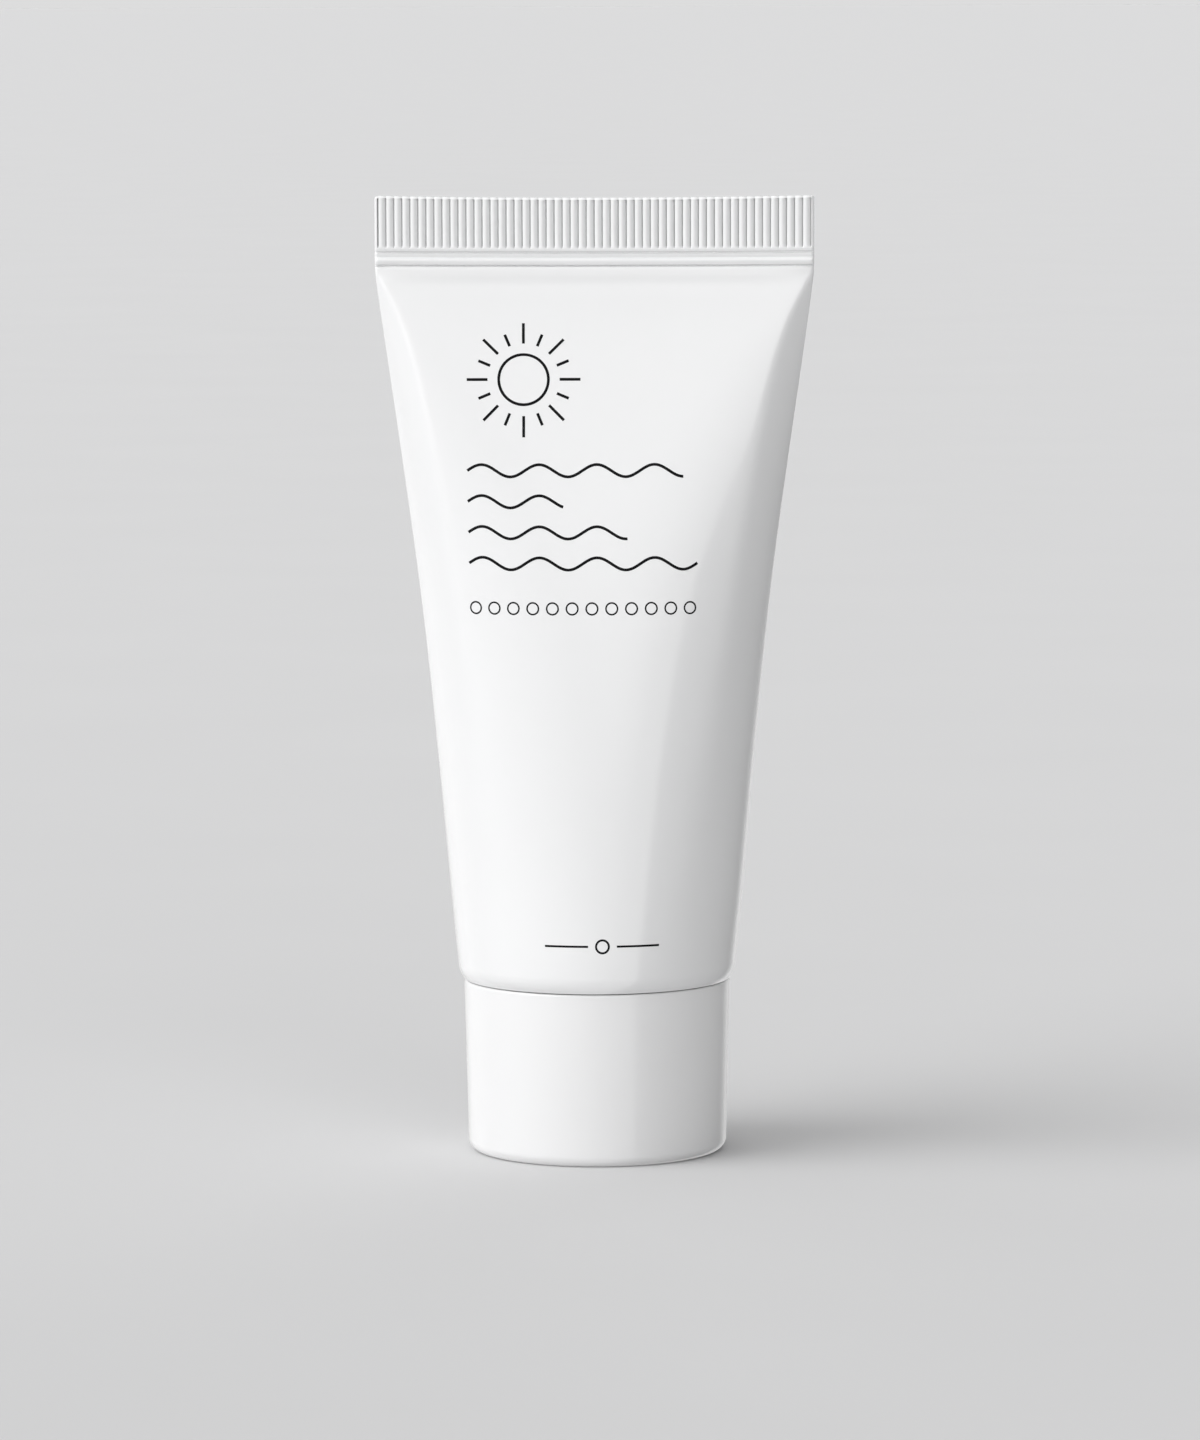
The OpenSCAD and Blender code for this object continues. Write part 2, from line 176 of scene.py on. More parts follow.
class SleeveSizes(bpy.types.PropertyGroup):
    """Sizes of the sleeve and its crimp."""

    radius: length("Radius", "Outside radius of the round end", SLEEVE_HIGH.y)
    foot: length("Foot", "Height of the sleeve's lower edge", SLEEVE_LOW.z)
    top: length("Top", "Height of the crimp's upper edge", SLEEVE_HIGH.z)
    wall: mm("Wall", "Thickness of the sleeve's wall", 0.45)
    heel_radius: mm("Heel radius", "Radius of the turn in to the shoulder", 3)
    heel_height: mm("Heel height", "Height of that turn", 2)
    crimp_height: mm("Crimp height", "Height of the crimped band", 9.1)
    seal_half: mm("Half seal", "Half the thickness of the crimped band", 0.4)
    waist: share("Waist", "Part of the flare by which the sides draw in", 0.086)
    lean: angle("Lean", "How far the outer part of the face leans back", 25)
    rib_count: count("Ribs", "Number of ribs in the crimp", 54)
    rib_border: mm("Rib border", "Bare edge at each end of the ribs", 0.45)
    rib_depth: mm("Rib depth", "Height of the ribs above the grooves", 0.5)
    sag: mm("Sag", "How far the middle of the crimp has sunk", 0.4)
    corner_radius: mm("Corner radius", "Radius of the crimp's upper corners", 0.45)
    unevenness: mm("Unevenness", "Height of the slow waves in the skin", 0.05)
    wave_length: mm("Wave length", "Length of those waves", 22)


class CapSizes(bpy.types.PropertyGroup):
    """Sizes of the cap's outer shell."""

    rim_radius: length("Rim radius", "Outside radius at the rim", CAP_HIGH.x)
    height: length("Height", "Height of the cap", SLEEVE_LOW.z - 0.13 * MM)
    draft: angle("Draft", "Draft of the cap's side", 1.3)
    wall: mm("Wall", "Thickness of the side", 1.3)
    deck: mm("Deck", "Thickness of the base", 1.5)
    edge: mm("Edge", "Radius of the lower edge", 1.5)
    rim_edge: mm("Rim edge", "Radius of the rim", 0.3)
    snap: mm("Snap", "Height of the bead that holds the insert", 0.3)
    gate_radius: mm("Gate radius", "Radius of the gate's dimple in the base", 1.1)
    gate_depth: mm("Gate depth", "Depth of that dimple", 0.25)


class InsertSizes(bpy.types.PropertyGroup):
    """Sizes of the threaded insert in the cap."""

    bore: mm("Bore", "Inside radius of the insert", 7.8)
    wall: mm("Wall", "Thickness of the threaded skirt", 1.5)
    deck: mm("Deck", "Thickness of the deck and the flange", 1.2)
    deck_top: length("Deck top", "Height of the deck's upper face", LINER_LOW.z - 0.05 * MM)
    edge: mm("Edge", "Chamfer round the mouth", 0.4)
    keeper: mm("Keeper", "Height of the bead that keeps the liner in", 0.3)
    corner: mm("Corner", "Radius of the moulded corners", 0.25)
    gussets: count("Gussets", "Number of stiffening ribs", 6)
    gusset_thickness: mm("Gusset thickness", "Thickness of a stiffening rib", 1)
    gusset_height: mm("Gusset height", "Height of a stiffening rib", 6)
    gusset_gap: mm("Gusset gap", "Gap between those ribs and the shell", 0.4)
    fit: mm("Fit", "Gap to the shell", 0.05)


class HeadSizes(bpy.types.PropertyGroup):
    """Sizes of the shoulder and the neck."""

    neck_radius: mm("Neck radius", "Radius of the neck under its thread", 6.6)
    bore: mm("Bore", "Inside radius of the neck", 5.2)
    orifice: mm("Orifice", "Radius of the hole in the mouth", 2)
    mouth: mm("Mouth", "Thickness of the plate across the mouth", 1.2)
    mouth_edge: mm("Mouth edge", "Chamfer round the mouth", 0.4)
    cone_radius: mm("Cone radius", "Outside radius of the sloping shoulder", 14.995)
    slope: angle("Slope", "Slope of the shoulder below the horizontal", 23)
    thickness: mm("Thickness", "Thickness of the shoulder", 1.1)
    skirt_radius: mm("Skirt radius", "Outside radius of the skirt in the sleeve", 16.95)
    skirt_inside: mm("Skirt inside", "Inside radius of that skirt", 15.9)
    skirt_taper: mm("Skirt taper", "How far it draws in towards its edge", 0.25)
    skirt_height: mm("Skirt height", "Height of the skirt", 1.2)
    corner: mm("Corner", "Radius of the moulded corners", 0.3)
    root_radius: mm("Root radius", "Radius where the neck meets the shoulder", 0.6)


class ThreadSizes(bpy.types.PropertyGroup):
    """Sizes of the two threads."""

    lead: mm("Lead", "Rise of the thread in one turn", 3)
    height: mm("Height", "Height of the thread above the neck", 0.9)
    crest: mm("Crest", "Width of the thread at its crest", 0.6)
    root: mm("Root", "Width of the thread at its root", 1.6)
    start: mm("Start", "Distance from the mouth to the thread's start", 2.2)
    gap: mm("Gap", "Gap between a crest and its wall", 0.3)
    flank_gap: mm("Flank gap", "Gap between the loaded flanks", 0.25)
    neck_plain: mm("Plain neck", "Plain length of neck above the thread", 3.2)
    insert_plain: mm("Plain bore", "Plain length of bore at the mouth", 2)
    fade: angle("Fade", "Angle over which a thread runs out", 40)


class FillingSizes(bpy.types.PropertyGroup):
    """Sizes of the liner and the cream."""

    liner_radius: length("Liner radius", "Radius of the liner disc", LINER_HIGH.x)
    liner_edge: mm("Liner edge", "Radius of the liner's edge", 0.12)
    liner_dent: mm("Liner dent", "Depth of the ring that the mouth pressed in", 0.04)
    cream_gap: mm("Cream gap", "Gap between the cream and its walls", 0.25)


class PrintSizes(bpy.types.PropertyGroup):
    """Sizes of the plain line ornament on the front, measured along the sleeve's sheet."""

    left: mm("Left", "Left edge, from the middle of the front", -16)
    stroke: mm("Stroke", "Width of the large lines", 0.35)
    fine_stroke: mm("Fine stroke", "Width of the small lines", 0.2)
    film: mm("Film", "How far the ink stands out", 0.012)
    sink: mm("Sink", "How far its back lies in the sleeve", 0.02)
    sun_height: mm("Sun height", "Height of the middle of the sun", 97.6)
    sun_radius: mm("Sun radius", "Radius of the sun's ring", 3.1)
    ray_start: mm("Ray start", "Inner end of the rays", 4.5)
    ray_end: mm("Ray end", "Outer end of the long rays", 7.1)
    short_ray_end: mm("Short ray end", "Outer end of the short rays", 6.1)
    rays: count("Rays", "Number of rays", 16)
    swell: mm("Swell", "Height of the wavy lines", 1.5)
    swell_length: mm("Swell length", "Length of one wave", 7.2)
    dots_height: mm("Dots height", "Height of the row of rings", 69.5)
    dots: count("Dots", "Number of rings in that row", 12)
    dots_width: mm("Dots width", "Width of that row", 28.6)
    dot_radius: mm("Dot radius", "Radius of a small ring", 0.72)
    mark_height: mm("Mark height", "Height of the mark near the cap", 27.9)
    mark_middle: mm("Mark middle", "Its place, from the middle of the front", 0.7)
    mark_half: mm("Half mark", "Half its width", 7.3)


# Lengths and heights of the wavy lines of the print
WAVES = ((27.0 * MM, 86.4 * MM), (12.0 * MM, 82.6 * MM), (20.0 * MM, 78.8 * MM), (28.8 * MM, 75.0 * MM))


class Finishes(bpy.types.PropertyGroup):
    """Colours and gloss of the materials."""

    sleeve: colour("Sleeve", "Glossy white of the sleeve", (0.86, 0.862, 0.866))
    sleeve_roughness: share("Sleeve roughness", "Roughness of the sleeve", 0.16)
    cap: colour("Cap", "Glossy white of the cap", (0.845, 0.845, 0.848))
    cap_roughness: share("Cap roughness", "Roughness of the cap", 0.24)
    moulded: colour("Moulded", "White of the head and the insert", (0.83, 0.83, 0.82))
    moulded_roughness: share("Moulded roughness", "Roughness of the head and the insert", 0.38)
    foam: colour("Foam", "White of the foamed liner", (0.78, 0.775, 0.75))
    cream: colour("Cream", "Colour of the sunscreen", (0.86, 0.8, 0.68))
    ink: colour("Ink", "Colour of the print", (0.004, 0.004, 0.0045))
    floor: colour("Floor", "Colour of the floor", (0.745, 0.745, 0.75))


class StageSettings(bpy.types.PropertyGroup):
    """Floor, light and camera."""

    floor_radius: length("Floor radius", "Radius of the floor", 400.0)
    camera_x: mm("Camera X", "Place of the camera along X", 0.49)
    camera_distance: length("Camera distance", "How far the camera is in front of the tube", 0.88)
    camera_height: length("Camera height", "Height of the camera", 0.1441)
    camera_pitch: angle("Camera pitch", "How far the camera looks down", 5.82)
    camera_roll: angle("Camera roll", "Turn of the camera about its view", -0.2)
    camera_lens: setting(FloatProperty, unit="CAMERA")("Lens", "Focal length in millimetres", 175.65)
    light: share("Light", "Strength of all the light", 1.0)
    above: share("Above", "Brightness above the band of light", 0.686)
    zenith: share("Zenith", "Brightness straight above", 0.451)
    key_light: number("Key light", "Strength of the wide soft key light", 3.0)
    fill_light: number("Fill light", "Strength of the soft fill light", 0.52)


# Light, in degrees. Azimuths are from the camera's side, positive to the right. First the heights between
# which the band of light all round fades, and between which the darker zenith sets in. Then the azimuth and
# the height of the two soft lights, and the angle from their middle at which they have died out
BAND_FADE, ZENITH_FADE = (34, 66), (62, 82)
KEY_LIGHT, FILL_LIGHT = (-67, 35, 36.5), (12, 23.5, 22)

# Azimuths of the band of light, and how bright it is there
LIGHT_ROUND = (
    (-180, 0.72), (-165, 0.72), (-150, 0.92), (-130, 0.92), (-105, 0.53), (-20, 0.9), (23, 0.99),
    (27.5, 1.15), (32, 1.15), (34.5, 0.24), (140, 0.24), (158, 0.92), (165, 0.72), (180, 0.72),
)
BRIGHTEST = 1.6
FLOOR_NEARNESS = 1.4  # one over the distance, in metres, at which the floor's painted shade is darkest
SENSOR_WIDTH = 36  # millimetres
CLIP = (0.01, 1000)  # nearest and farthest distance that the camera sees, in metres


class Section:
    """Outline of the sleeve at one share of its height. The sheet keeps its length. From the middle of
    the face it curves slowly, bends where the face meets the side, and folds round the side."""

    def __init__(self, sizes, level):
        left = 1 - level
        turn = pi / 2
        flare = level - sizes.waist * max(sin(pi * level), 0) ** WAIST_POWER
        half_width = sizes.radius * (1 + (turn - 1) * flare)
        self.quarter = turn * sizes.radius + (turn - 1) * sizes.seal_half * level
        self.fold = sizes.seal_half + (sizes.radius - sizes.seal_half) * left ** FOLD_FALL
        self.bend_place = 1 - sum(part * left ** power for power, part in BEND_OFFSET)
        self.bend_place -= LATE_OFFSET * (1 - exp(-left / OFFSET_REACH))
        self.bend_width = BEND_LEAST + BEND_WIDTH * left ** BEND_TIGHTENING
        self.lean = sizes.lean * (1 - left ** LEAN_FALL) + LATE_LEAN * level ** LEAN_LATENESS
        even, linear, late = CROWN_POWERS
        self.crown_power = even + linear * level + late * level ** CROWN_LATENESS
        self.softness = FOLD_SOFTNESS ** 2 * 4 * left * level
        low, high = 0, turn if left > 0 else 0
        while high - low > CROWN_PRECISION:
            crown = (low + high) / 2
            low, high = (crown, high) if self.trace(crown)[-1][0] > half_width else (low, crown)
        self.points = self.trace(high)
        self.depth = self.points[-1][1]

    def turned(self, u, crown):
        """How far the sheet has turned from the front at a share of the quarter."""
        face = crown * u ** self.crown_power
        face += self.lean * smooth_step((u - self.bend_place) / self.bend_width + 0.5)
        side = pi / 2 - (1 - u) * self.quarter / self.fold
        return min((face + side + sqrt((face - side) ** 2 + self.softness)) / 2, pi / 2)

    def trace(self, crown):
        """(sideways, inwards, turn) of each step along the sheet from the middle of the face."""
        points = [(0, 0, 0)]
        u = 0
        for k in range(1, OUTLINE_STEPS + 1):
            after = 1 - (1 - k / OUTLINE_STEPS) ** OUTLINE_CROWDING
            step = (after - u) * self.quarter
            turn = self.turned((u + after) / 2, crown)
            x, y, _ = points[-1]
            points.append((x + step * cos(turn), y + step * sin(turn), self.turned(after, crown)))
            u = after
        return points

    def point(self, u, inset=0):
        """(sideways, outwards) of the point at a share of the quarter."""
        place = (1 - (1 - u) ** (1 / OUTLINE_CROWDING)) * OUTLINE_STEPS
        k = min(int(place), OUTLINE_STEPS - 1)
        pairs = zip(self.points[k], self.points[k + 1])
        sideways, inwards, turn = (a + (b - a) * (place - k) for a, b in pairs)
        return sideways - inset * sin(turn), self.depth - inwards - inset * cos(turn)


def clamp(x):
    """x, kept between 0 and 1."""
    return min(max(x, 0), 1)


def smooth_step(x):
    """0 below 0, 1 above 1, and a smooth rise between."""
    return clamp(x) ** 2 * (3 - 2 * clamp(x))


class Sleeve:
    """Places on the sleeve, worked out from its sizes."""

    def __init__(self, sizes):
        self.sizes = sizes
        self.heel_top = sizes.foot + sizes.heel_height
        self.crimp_foot = sizes.top - sizes.crimp_height
        self.seal_width = pi / 2 * sizes.radius
        self.rib_half = self.seal_width - sizes.rib_border
        self.rib_pitch = self.rib_half / (sizes.rib_count // 2)
        self.sections = {}
        self.shares = [1 - (1 - k / BODY_ROWS) ** BODY_CROWDING for k in range(BODY_ROWS + 1)]
        self.quarter = self.section(1).quarter

    def section(self, level):
        """The outline at a share of the height between the heel and the crimp."""
        key = round(level, 7)
        if key not in self.sections:
            self.sections[key] = Section(self.sizes, key)
        return self.sections[key]

    def share_at(self, z):
        """The share of the height at z."""
        return clamp((z - self.heel_top) / (self.crimp_foot - self.heel_top))

    def height(self, level):
        """The height at a share."""
        return self.heel_top + (self.crimp_foot - self.heel_top) * level

    def bow(self, z):
        """How much less than its middle the crimp's corners have sunk at a height, as a share."""
        return LOW_BOW + (HIGH_BOW - LOW_BOW) * clamp((z - self.crimp_foot) / self.sizes.crimp_height)

    def settled(self, x, y, z):
        """A point, lowered because the crimp has sunk in its middle and to the right."""
        reach = smooth_step((z - self.crimp_foot + SAG_REACH) / SAG_REACH)
        drop = self.sizes.sag * (1 - self.bow(z) * (x / self.seal_width) ** 2) + SLANT * x
        return Vector((x, y, z - reach * drop))

    def wave(self, place):
        """Slow unevenness of the filled skin, which dies out at the heel and the crimp."""
        room = smooth_step((place.z - self.heel_top) / CALM) * smooth_step((self.crimp_foot - place.z) / CALM)
        return self.sizes.unevenness * room * noise.noise(place / self.sizes.wave_length)

    def on_row(self, level, u, right, front, lift=0):
        """The point of the outside at a share of the quarter, in a row of the skin."""
        sideways, out = self.section(level).point(u, -lift)
        place = Vector((sideways * right, -out * front, self.height(level)))
        flat = Vector((place.x, place.y, 0))
        return self.settled(*place + flat.normalized() * self.wave(place))

    def skin(self, u, z, right, front, lift):
        """The point of the outside at any height, between two rows of the skin."""
        level = self.share_at(z)
        k = max(bisect_left(self.shares, level), 1)
        below, above = self.shares[k - 1], self.shares[k]
        low, high = (self.on_row(row, u, right, front, lift) for row in (below, above))
        return low.lerp(high, (level - below) / (above - below))


def quarter_cuts(sleeve):
    """Distances of a quarter's columns along the sheet, from the middle of the face."""
    ribs, start = range(sleeve.sizes.rib_count // 2), sleeve.rib_half
    cuts = [(rib + cut) * sleeve.rib_pitch for rib in ribs for cut in RIB_CUTS]
    return cuts + [start + (sleeve.quarter - start) * k / SIDE_CUTS for k in range(SIDE_CUTS + 1)]


def rolled_sheet(bm, columns, rows, place):
    """Adds a sheet of columns by rows cells and moves its corner (i, j) to place(i, j)."""
    made = bmesh.ops.create_grid(bm, x_segments=columns, y_segments=rows, size=0.5)
    for vert in made["verts"]:
        vert.co = place(round((vert.co.x + 0.5) * columns), round((vert.co.y + 0.5) * rows))
    bmesh.ops.remove_doubles(bm, verts=made["verts"], dist=MERGE_DISTANCE)


def round_the_ring(i, quarter_columns):
    """(place in the quarter, side, face) of column i, counted from the front by the right."""
    quadrant, k = divmod(i % (4 * quarter_columns), quarter_columns)
    if quadrant % 2:
        k = quarter_columns - k
    return k, 1 if quadrant < 2 else -1, 1 if quadrant in (0, 3) else -1


def rounded(points, radius, steps=CORNER_STEPS):
    """An open profile with its corners rounded. A point may carry its own radius as a third value."""
    made = [Vector(points[0][:2])]
    for before, corner, after in zip(points, points[1:], points[2:]):
        r = corner[2] if len(corner) > 2 else radius
        a, b, c = Vector(before[:2]), Vector(corner[:2]), Vector(after[:2])
        into, out = (a - b).normalized(), (c - b).normalized()
        half = into.angle(out) / 2
        room = min((a - b).length, (c - b).length) * CORNER_ROOM
        reach = min(r / tan(half), room) if half < STRAIGHT else 0
        if reach < MERGE_DISTANCE / 10:
            made.append(b)
            continue
        centre = b + (into + out).normalized() * reach / cos(half)
        start, end = b + into * reach - centre, b + out * reach - centre
        turn = start.angle_signed(end)
        made += [centre + Matrix.Rotation(-turn * k / steps, 2) @ start for k in range(steps + 1)]
    return made + [Vector(points[-1][:2])]


def spun(profile, steps=ROUND_STEPS):
    """Spins a profile of (radius, height) points round Z into a closed skin."""
    bm = bmesh.new()
    verts = [bm.verts.new((max(p[0], 0), 0, p[1])) for p in profile]
    edges = [bm.edges.new(pair) for pair in zip(verts, verts[1:])]
    if profile[0][0] > 0 or profile[-1][0] > 0:
        edges.append(bm.edges.new((verts[-1], verts[0])))
    bmesh.ops.spin(bm, geom=verts + edges, cent=(0, 0, 0), axis=(0, 0, 1), dvec=(0, 0, 0),
                   angle=tau, steps=steps, use_merge=True, use_duplicate=False)
    bmesh.ops.remove_doubles(bm, verts=bm.verts, dist=MERGE_DISTANCE)
    return bm


def round_point(r, z, v, right, front):
    """The point of a round ring at a share of its quarter."""
    turn = v * pi / 2
    return Vector((r * sin(turn) * right, -r * cos(turn) * front, z))


def flank_slope(thread):
    """Width of a thread's flank for each unit of height."""
    return (thread.root - thread.crest) / 2 / thread.height


def thread_ridge(bm, thread, wall_r, crest_r, z0, turns):
    """Adds a right-hand thread on a wall of radius wall_r, up to crest_r."""
    out = 1 if crest_r > wall_r else -1
    steps = ceil(turns * THREAD_STEPS)
    fade_steps = thread.fade / tau * THREAD_STEPS
    across = 4 * (FINE_CORNER_STEPS + 1)

    def place(i, j):
        low, foot = wall_r - out * THREAD_SINK / 2, wall_r - out * THREAD_SINK
        top = low + (crest_r - low) * smooth_step(min(j, steps - j) / fade_steps)
        foot_half = thread.root / 2 + flank_slope(thread) * THREAD_SINK
        top_half = thread.root / 2 - flank_slope(thread) * (top - wall_r) * out
        ring = [(foot, foot_half), (top, top_half), (top, -top_half), (foot, -foot_half)]
        ring = rounded(ring[-1:] + ring + ring[:1], THREAD_CORNER, FINE_CORNER_STEPS)[1:-1]
        r, h = ring[i % len(ring)]
        turn = tau * turns * j / steps
        return Vector((r * cos(turn), r * sin(turn), z0 + thread.lead * turn / tau + h))

    rolled_sheet(bm, across, steps, place)
    bmesh.ops.holes_fill(bm, edges=bm.edges, sides=across)


def piece(bm, name, material, body, nodes=()):
    """Makes the mesh an object that rides on a body and stands for CAD nodes."""
    bmesh.ops.recalc_face_normals(bm, faces=bm.faces)
    for face in bm.faces:
        face.smooth = True
    for edge in bm.edges:
        edge.smooth = edge.calc_face_angle(0) < SHARP_ANGLE
    mesh = bpy.data.meshes.new(name)
    bm.to_mesh(mesh)
    bm.free()
    mesh.materials.append(material)
    obj = bpy.data.objects.new(name, mesh)
    bpy.context.scene.collection.objects.link(obj)
    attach(obj, body)
    if nodes:
        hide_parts(*nodes)
    return obj


class Nodes:
    """A node tree that is put together step by step. Each step gives an output socket."""

    def __init__(self, tree):
        self.tree = tree

    def feed(self, node, inputs):
        """Sets inputs of a node to values, or links them to sockets."""
        for key, value in inputs.items():
            if isinstance(value, bpy.types.NodeSocket):
                self.tree.links.new(value, node.inputs[key])
            else:
                node.inputs[key].default_value = value

    def add(self, kind, inputs, output=0, **settings):
        """Adds a node with these settings and inputs."""
        node = self.tree.nodes.new(kind)
        for key, value in settings.items():
            setattr(node, key, value)
        self.feed(node, inputs)
        return node.outputs[output]

    def maths(self, operation, *values):
        """One step of arithmetic."""
        return self.add("ShaderNodeMath", dict(enumerate(values)), operation=operation)

    def between(self, a, b, factor):
        """A value that is a where factor is 0 and b where it is 1."""
        rest = self.maths("SUBTRACT", 1, factor)
        return self.maths("ADD", self.maths("MULTIPLY", rest, a), self.maths("MULTIPLY", factor, b))

    def spread(self, value, low, high, start=0.3, end=0.7, curve="LINEAR"):
        """Maps start..end, by default the middle range of a pattern, to low..high."""
        inputs = {"Value": value, "From Min": start, "From Max": end, "To Min": low, "To Max": high}
        return self.add("ShaderNodeMapRange", inputs, interpolation_type=curve)

    def levels(self, place, steps, highest):
        """A value that changes along (place, value) steps, none above highest."""
        grey = self.add("ShaderNodeValToRGB", {"Fac": place})
        elements = grey.node.color_ramp.elements
        for k, (at, value) in enumerate(steps):
            element = elements[k] if k < 2 else elements.new(1)
            element.position = at
            element.color = (*[value / highest] * 3, 1)
        return self.maths("MULTIPLY", grey, highest)


class Shader(Nodes):
    """A node material, with its patterns in object coordinates."""

    def __init__(self, name):
        self.material = bpy.data.materials.new(name)
        self.material.use_nodes = True
        super().__init__(self.material.node_tree)
        self.place = self.add("ShaderNodeTexCoord", {}, "Object")

    def finished(self, inputs):
        """The material, once its surface has these inputs."""
        self.feed(self.tree.nodes["Principled BSDF"], inputs)
        return self.material

    def grain(self, scale, detail=2, vector=None):
        """Noise of a scale, in waves per metre."""
        inputs = {"Vector": vector or self.place, "Scale": scale, "Detail": detail}
        return self.add("ShaderNodeTexNoise", inputs)

    def mixed(self, factor, a, b):
        """A colour between a and b."""
        colour = self.add("ShaderNodeValToRGB", {"Fac": factor})
        for element, rgb in zip(colour.node.color_ramp.elements, (a, b)):
            element.color = (*rgb, 1)
        return colour

    def scaled(self, vector, factor):
        """A vector or a colour times a factor."""
        return self.add("ShaderNodeVectorMath", {0: vector, "Scale": factor}, operation="SCALE")

    def bump(self, height, strength, distance, **under):
        """Raises the surface by a pattern."""
        inputs = {"Height": height, "Strength": strength, "Distance": distance, **under}
        return self.add("ShaderNodeBump", inputs)


def shade(rgb, factor):
    """A colour made lighter or darker."""
    return tuple(min(c * factor, 1) for c in rgb)


def plastic(name, rgb, roughness, coat, peel, streaks, painted_light=None):
    """White plastic with faint clouding, uneven gloss, orange peel and fine streaks."""
    shader = Shader(name)
    tint = shader.mixed(shader.grain(60, 3), shade(rgb, 0.985), shade(rgb, 1.008))
    # Where painted light is given, the colour is scaled by that painted light and shade
    if painted_light:
        tint = shader.scaled(tint, painted_light(shader))
    fine = shader.bump(shader.grain(900, 1), peel, 0.02 * MM)
    lines = shader.grain(1, 2, shader.add("ShaderNodeMapping", {"Vector": shader.place, "Scale": streaks}))
    return shader.finished({
        "Base Color": tint, "IOR": 1.5, "Coat Weight": coat, "Coat Roughness": 0.05,
        "Roughness": shader.spread(shader.grain(120), roughness * 0.92, roughness * 1.08),
        "Normal": shader.bump(lines, 0.08, 0.02 * MM, Normal=fine)})


def sleeve_material(finish, sleeve):
    """Glossy extruded polyethylene with faint streaks. Its crimp has painted light: a lighter band, and a
    painted highlight and painted shade across each rib.
    """
    sizes = sleeve.sizes

    # Painted light and shade: the crimp's band is made lighter, and each rib gets a painted highlight near
    # its left groove and painted shade towards its right groove
    def painted_light(shader):
        maths = shader.maths
        x, y, z = shader.add("ShaderNodeSeparateXYZ", {"Vector": shader.place}).node.outputs
        spared = sizes.sag * sleeve.bow(sleeve.crimp_foot + RIBS_START) / sleeve.seal_width ** 2
        bowed = maths("MULTIPLY", maths("MULTIPLY", x, x), -spared)
        drop = maths("ADD", bowed, maths("MULTIPLY", x, SLANT))
        height = maths("ADD", z, maths("ADD", drop, sizes.sag - sleeve.crimp_foot))
        side = maths("MULTIPLY", maths("SIGN", y), -1)
        rear = maths("MULTIPLY", maths("GREATER_THAN", y, 0), 1 + RIB_CREST)
        place = maths("ADD", maths("MULTIPLY", maths("DIVIDE", x, sleeve.rib_pitch), side), rear)
        tint = shader.levels(maths("FRACT", place), RIB_PAINTED_LIGHT, 2)
        for below, start in ((BAND_PAINTED_LIGHT, RIBS_START), (1, BAND_START)):
            tint = shader.between(below, tint, shader.spread(height, 0, 1, start, start + TONE_RISE))
        return tint

    return plastic("sleeve_gloss_white", finish.sleeve, finish.sleeve_roughness, 0.95, 0.12,
                   (700, 700, 12), painted_light)


def cap_material(finish):
    """Glossy moulded polypropylene."""
    return plastic("cap_gloss_white", finish.cap, finish.cap_roughness, 0.6, 0.15, (300, 300, 40))


def moulded_material(finish):
    """Plain moulded polyethylene of the inner pieces."""
    return plastic("moulded_white", finish.moulded, finish.moulded_roughness, 0, 0.3, (150, 150, 150))


def foam_material(finish):
    """Fine closed-cell foam."""
    shader = Shader("liner_foam")
    cells = shader.add("ShaderNodeTexVoronoi", {"Vector": shader.place, "Scale": 2600}, "Distance")
    return shader.finished({
        "Base Color": shader.mixed(cells, shade(finish.foam, 0.93), finish.foam),
        "Roughness": shader.spread(shader.grain(500), 0.55, 0.7),
        "Normal": shader.bump(cells, 0.35, 0.05 * MM)})


def cream_material(finish):
    """Thick emulsion with a soft wet gloss."""
    shader = Shader("sunscreen_emulsion")
    folds = shader.grain(180, 3)
    return shader.finished({
        "Base Color": shader.mixed(folds, shade(finish.cream, 0.96), finish.cream),
        "Roughness": shader.spread(folds, 0.25, 0.4), "Subsurface Weight": 0.2, "Subsurface Scale": 2 * MM,
        "Normal": shader.bump(folds, 0.4, 0.3 * MM)})


def ink_material(finish):
    """Screen-printed ink, with a slightly uneven film."""
    shader = Shader("print_ink")
    film = shader.grain(1800, 3)
    return shader.finished({
        "Base Color": shader.mixed(film, finish.ink, shade(finish.ink, 1.8)),
        "Roughness": shader.spread(film, 0.4, 0.55), "Specular IOR Level": 0.1,
        "Normal": shader.bump(film, 0.15, 0.01 * MM)})


def floor_material(settings):
    """Matt pale floor, darkest under the camera: painted shade in its colour."""
    shader = Shader("studio_floor")
    rgb = settings.finish.floor
    camera = (0, settings.stage.camera_distance, 0)
    offset = shader.add("ShaderNodeVectorMath", {0: shader.place, 1: camera}, operation="ADD")
    distance = shader.add("ShaderNodeVectorMath", {0: offset}, "Value", operation="LENGTH")
    # Painted shade: the floor's colour darkens towards the point under the camera
    near = shader.spread(shader.maths("DIVIDE", 1, distance), 0, 1, 0, FLOOR_NEARNESS)
    cloud = shader.spread(shader.grain(14, 3), 0.994, 1.006)
    return shader.finished({
        "Base Color": shader.scaled(shader.mixed(near, rgb, shade(rgb, 0.89)), cloud),
        "Roughness": 0.9, "Specular IOR Level": 0.1,
        "Normal": shader.bump(shader.grain(700), 0.1, 0.1 * MM)})


class Settings(bpy.types.PropertyGroup):
    """All sizes and finishes of the tube."""

    sleeve: PointerProperty(type=SleeveSizes)
    cap: PointerProperty(type=CapSizes)
    insert: PointerProperty(type=InsertSizes)
    head: PointerProperty(type=HeadSizes)
    thread: PointerProperty(type=ThreadSizes)
    filling: PointerProperty(type=FillingSizes)
    front: PointerProperty(type=PrintSizes)
    finish: PointerProperty(type=Finishes)
    stage: PointerProperty(type=StageSettings)


